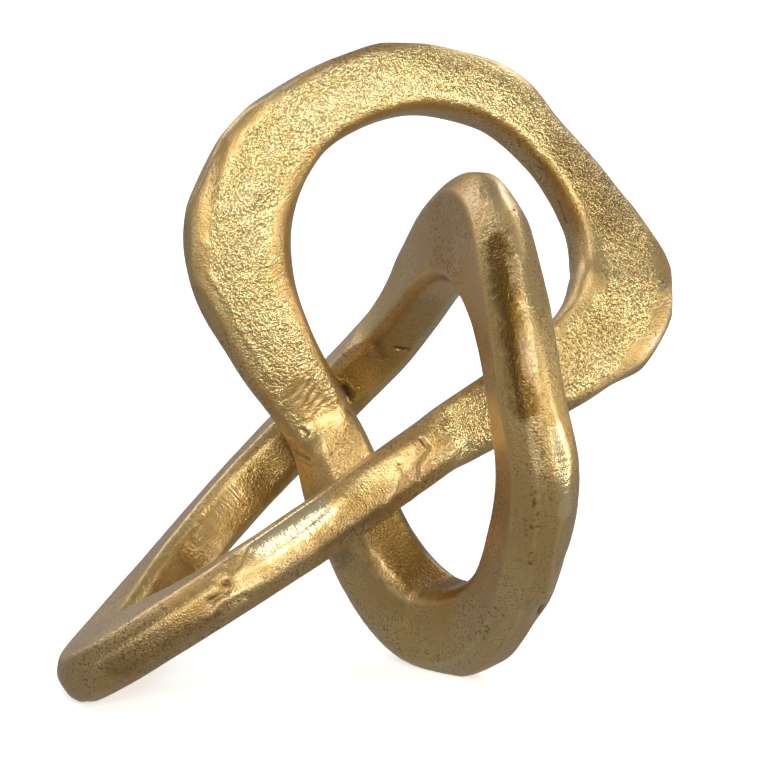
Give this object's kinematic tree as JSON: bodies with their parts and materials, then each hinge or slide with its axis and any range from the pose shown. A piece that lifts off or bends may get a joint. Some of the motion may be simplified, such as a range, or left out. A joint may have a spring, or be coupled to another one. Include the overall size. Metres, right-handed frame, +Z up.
{
  "type": "trefoil knot sculpture",
  "caption": "Decorative cast metal knot: one flat-sided band in interlaced loops, welded into a closed trefoil that rests on two ground flats.",
  "frame": {"origin": "middle of the knot's bounding box, on the surface it rests on", "axes": "+Z up, -Y towards the front that the picture shows, +X to the right as seen from the front"},
  "size_m": [0.1884, 0.134, 0.1953],
  "materials": {
    "cast_gold": "sand-cast aluminium with a gold finish, grainy on the cast faces and smooth on the ground edges",
    "ground_weld": "ground weld with the same gold finish, smoother and dented"
  },
  "bodies": {
    "root": {"upper_loop": "cast_gold", "lower_left_loop": "cast_gold", "right_loop": "cast_gold", "weld_upper_to_lower_left": "ground_weld", "weld_lower_left_to_right": "ground_weld", "weld_right_to_upper": "ground_weld"}
  },
  "joints": []
}
